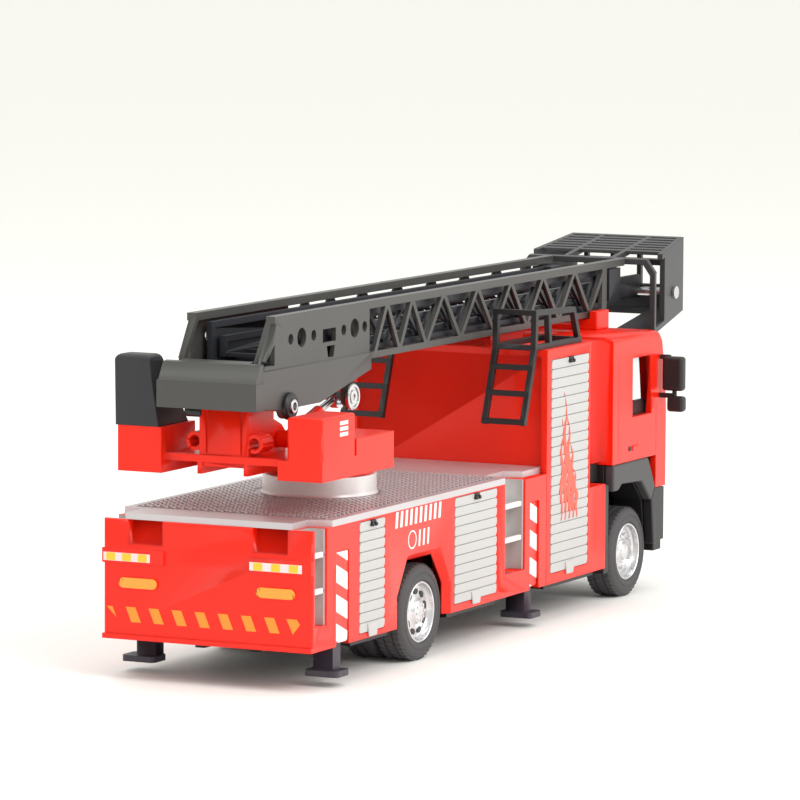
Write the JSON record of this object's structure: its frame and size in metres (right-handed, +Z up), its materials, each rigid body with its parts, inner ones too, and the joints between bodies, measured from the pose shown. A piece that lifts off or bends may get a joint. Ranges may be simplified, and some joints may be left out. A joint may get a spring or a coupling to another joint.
{
  "type": "toy fire engine",
  "caption": "Toy turntable-ladder fire engine with extending ladder, tilting basket, sliding outriggers and rolling wheels.",
  "frame": {"origin": "middle of the overall box on the floor, under the tyres", "axes": "+X to the front of the truck, +Y to its left, +Z up"},
  "size_m": [0.2462, 0.0704, 0.0916],
  "materials": {
    "red_body": "glossy enamel",
    "red_plastic": "glossy moulded",
    "tread_plate": "silver paint on a raised tread pattern",
    "silver_plastic": "silver paint",
    "bay_grey": "grey moulded",
    "shutter_white": "pale grey printed",
    "black_plastic": "black moulded",
    "fender_grey": "grey moulded",
    "ladder_grey": "satin moulded",
    "basket_grey": "satin moulded",
    "console_grey": "satin moulded",
    "outrigger_plate": "red and white printed stripes",
    "foot_black": "black moulded",
    "tyre_rubber": "matt rubber",
    "plated": "bright plated",
    "steel": "plain steel",
    "red_tube": "glossy moulded",
    "amber_lens": "glossy printed",
    "clear_lens": "clear"
  },
  "bodies": {
    "truck": {"rear_body_shell": "red_body", "module_shell": "red_plastic", "deck_plate": "tread_plate", "turntable_ring": "silver_plastic", "rear_lamps": "amber_lens", "chassis_base": "black_plastic", "base_screws": "steel", "link_block": "black_plastic", "cab_shell": "red_body", "windscreen": "clear_lens", "front_grille": "black_plastic", "cab_interior": "black_plastic", "steering_wheel": "black_plastic", "front_bumper": "black_plastic", "bumper_skirt": "silver_plastic", "headlamps": "clear_lens", "sun_visor": "black_plastic", "ladder_rest": "red_plastic", "fenders": "fender_grey", "mirrors": "black_plastic", "climb_ladders": "black_plastic", "shutters_rear": "shutter_white", "shutters_middle": "shutter_white", "shutters_tall": "shutter_white", "step_inserts_left": "bay_grey", "step_inserts_right": "bay_grey"},
    "rear_wheels": {"rear_axle": "steel", "rim_rear_left": "plated", "rim_rear_right": "plated", "tyre_rear_left": "tyre_rubber", "tyre_rear_right": "tyre_rubber"},
    "front_wheels": {"front_axle": "steel", "rim_front_left": "plated", "rim_front_right": "plated", "tyre_front_left": "tyre_rubber", "tyre_front_right": "tyre_rubber"},
    "outrigger_rear_left": {"outrigger_rear_left": "outrigger_plate", "outrigger_foot_rear_left": "foot_black"},
    "outrigger_rear_right": {"outrigger_rear_right": "outrigger_plate", "outrigger_foot_rear_right": "foot_black"},
    "outrigger_front_left": {"outrigger_front_left": "outrigger_plate", "outrigger_foot_front_left": "foot_black"},
    "outrigger_front_right": {"outrigger_front_right": "outrigger_plate", "outrigger_foot_front_right": "foot_black"},
    "turntable": {"turntable_platform": "red_plastic", "turntable_screw": "steel", "control_console": "console_grey", "cylinder_foot_pin": "plated"},
    "ladder_base": {"ladder_rear_frame": "ladder_grey", "ladder_base_left": "ladder_grey", "ladder_base_right": "ladder_grey", "ladder_base_rungs": "ladder_grey", "pivot_pin": "plated", "cylinder_head_pin": "plated"},
    "ladder_middle": {"ladder_middle_section": "ladder_grey"},
    "ladder_top": {"ladder_top_section": "ladder_grey", "basket_pin": "plated"},
    "basket": {"basket": "basket_grey"},
    "lift_tubes": {"lift_tubes": "red_tube"},
    "lift_rods": {"lift_rods": "plated"}
  },
  "joints": [
    {"name": "rear_axle_spin", "type": "hinge", "parent": "truck", "child": "rear_wheels", "pos_m": [-0.0624, 0, 0.01195], "axis": [0, 1, 0], "continuous": true},
    {"name": "front_axle_spin", "type": "hinge", "parent": "truck", "child": "front_wheels", "pos_m": [0.0646, 0, 0.01195], "axis": [0, 1, 0], "continuous": true},
    {"name": "outrigger_rear_left_slide", "type": "slide", "parent": "truck", "child": "outrigger_rear_left", "axis": [0, 1, 0], "range_m": [0, 0.014]},
    {"name": "outrigger_rear_right_slide", "type": "slide", "parent": "truck", "child": "outrigger_rear_right", "axis": [0, -1, 0], "range_m": [0, 0.014]},
    {"name": "outrigger_front_left_slide", "type": "slide", "parent": "truck", "child": "outrigger_front_left", "axis": [0, 1, 0], "range_m": [0, 0.014]},
    {"name": "outrigger_front_right_slide", "type": "slide", "parent": "truck", "child": "outrigger_front_right", "axis": [0, -1, 0], "range_m": [0, 0.014]},
    {"name": "turntable_slew", "type": "hinge", "parent": "truck", "child": "turntable", "pos_m": [-0.064, 0, 0.045], "axis": [0, 0, 1], "continuous": true},
    {"name": "ladder_lift", "type": "hinge", "parent": "turntable", "child": "ladder_base", "pos_m": [-0.1047, 0, 0.0657], "axis": [0, -1, 0], "range_deg": [0, 45]},
    {"name": "lift_tube_swing", "type": "hinge", "parent": "turntable", "child": "lift_tubes", "pos_m": [-0.0984, 0, 0.057], "axis": [0, -1, 0], "range_deg": [0, 45.8]},
    {"name": "lift_rod_slide", "type": "slide", "parent": "lift_tubes", "child": "lift_rods", "axis": [0.9598, 0, 0.2808], "range_m": [0, 0.00833]},
    {"name": "middle_section_slide", "type": "slide", "parent": "ladder_base", "child": "ladder_middle", "axis": [1, 0, 0], "range_m": [0, 0.13]},
    {"name": "top_section_slide", "type": "slide", "parent": "ladder_middle", "child": "ladder_top", "axis": [1, 0, 0], "range_m": [0, 0.13]},
    {"name": "basket_tilt", "type": "hinge", "parent": "ladder_top", "child": "basket", "pos_m": [0.1134, 0, 0.0771], "axis": [0, -1, 0], "range_deg": [-45, 10]}
  ],
  "couplings": [
    {"joint": "lift_tube_swing", "follows": "ladder_lift", "ratio": 1.006},
    {"joint": "lift_rod_slide", "follows": "ladder_lift", "m_per_rad": 0.01048},
    {"joint": "top_section_slide", "follows": "middle_section_slide", "ratio": 1}
  ]
}
